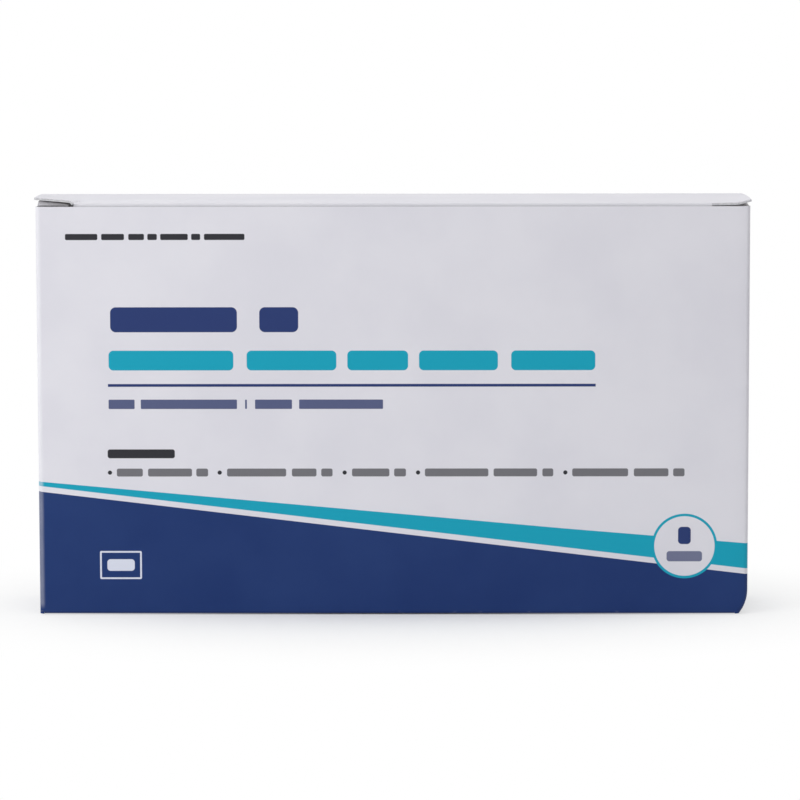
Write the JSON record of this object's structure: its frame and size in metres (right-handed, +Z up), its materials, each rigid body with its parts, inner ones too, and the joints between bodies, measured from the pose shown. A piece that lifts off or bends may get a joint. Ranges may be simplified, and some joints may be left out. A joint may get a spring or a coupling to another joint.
{
  "type": "tuck end carton",
  "caption": "Upright folding carton with a hinged tuck lid at each end, holding a rapid test kit: leaflet, pouch, sachet, vial and bag.",
  "frame": {"origin": "middle of the carton's base, on the surface that it stands on", "axes": "+X to the right across the front panel, front panel faces -Y, +Z up"},
  "size_m": [0.1502, 0.024, 0.0885],
  "materials": {
    "printed_board": "coated white paperboard with printed colour fields",
    "white_board": "coated white paperboard",
    "navy_board": "coated paperboard printed navy",
    "leaflet_paper": "thin uncoated paper",
    "white_film": "paper-backed peel film",
    "clear_plastic": "natural polypropylene",
    "fluid": "clear fluid",
    "cap_plastic": "moulded polypropylene",
    "foil": "aluminium foil laminate",
    "bag_film": "clear polythene film"
  },
  "bodies": {
    "sleeve": {"carton_sleeve": "printed_board", "package_insert": "leaflet_paper", "collector_sachet": "white_film", "buffer_vial": "clear_plastic", "buffer_fluid": "fluid", "vial_cap": "cap_plastic", "foil_pouch": "foil", "biosafety_bag": "bag_film"},
    "top_lid": {"top_lid": "white_board"},
    "bottom_lid": {"bottom_lid": "navy_board"}
  },
  "joints": [
    {"name": "top_lid_hinge", "type": "hinge", "parent": "sleeve", "child": "top_lid", "pos_m": [0, 0.01182, 0.08702], "axis": [-1, 0, 0], "range_deg": [0, 175]},
    {"name": "bottom_lid_hinge", "type": "hinge", "parent": "sleeve", "child": "bottom_lid", "pos_m": [0, -0.01182, 0.00018], "axis": [-1, 0, 0], "range_deg": [0, 175]}
  ]
}
